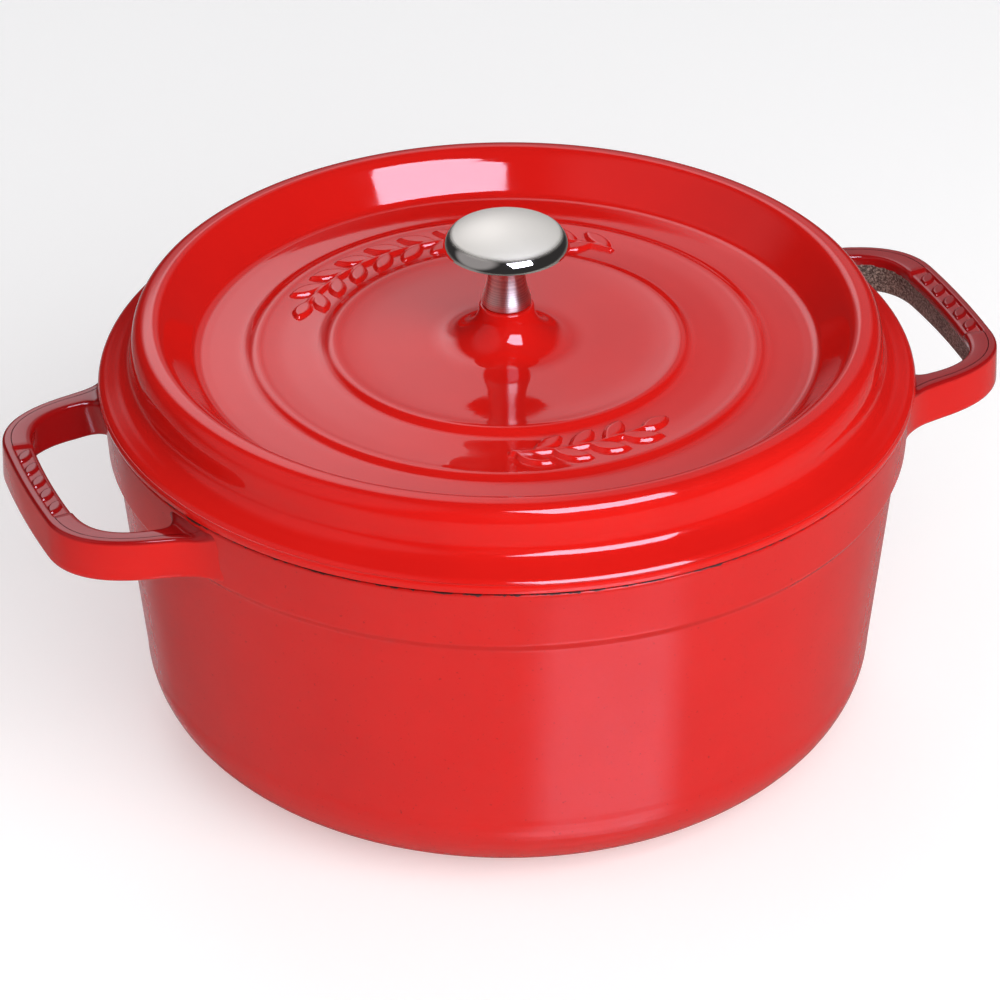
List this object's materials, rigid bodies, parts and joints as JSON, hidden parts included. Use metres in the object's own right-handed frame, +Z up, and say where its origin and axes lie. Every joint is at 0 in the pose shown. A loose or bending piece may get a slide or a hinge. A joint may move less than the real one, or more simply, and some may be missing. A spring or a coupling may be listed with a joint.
{
  "type": "dutch oven",
  "caption": "Round enamelled cast iron cooking pot with loop handles at its sides and a lift-off pan-top lid with a mushroom knob.",
  "frame": {"origin": "centre of the base, on the surface that the pot stands on", "axes": "+Z up along the pot's axis, +X along the line through the two loop handles"},
  "size_m": [0.3344, 0.27, 0.1832],
  "materials": {
    "red_enamel": "glossy bright red vitreous enamel on cast iron",
    "black_enamel": "matte textured black enamel",
    "satin_nickel": "nickel plate, satin on top of the cap and polished at its edge and neck",
    "zinc_steel": "bright zinc plated steel"
  },
  "bodies": {
    "pot": {"pot_body": "red_enamel", "pot_lining": "black_enamel", "handle_left": "red_enamel", "handle_right": "red_enamel"},
    "lid": {"lid": "red_enamel", "lid_lining": "black_enamel", "knob_screw": "zinc_steel", "knob_flat_washer": "zinc_steel", "knob_spring_washer": "zinc_steel"},
    "knob": {"knob": "satin_nickel"}
  },
  "joints": [
    {"name": "lid_lift", "type": "slide", "parent": "pot", "child": "lid", "axis": [0, 0, 1], "range_m": [0, 0.15]},
    {"name": "knob_turn", "type": "hinge", "parent": "lid", "child": "knob", "pos_m": [0, 0, 0.1535], "axis": [0, 0, 1], "continuous": true}
  ]
}
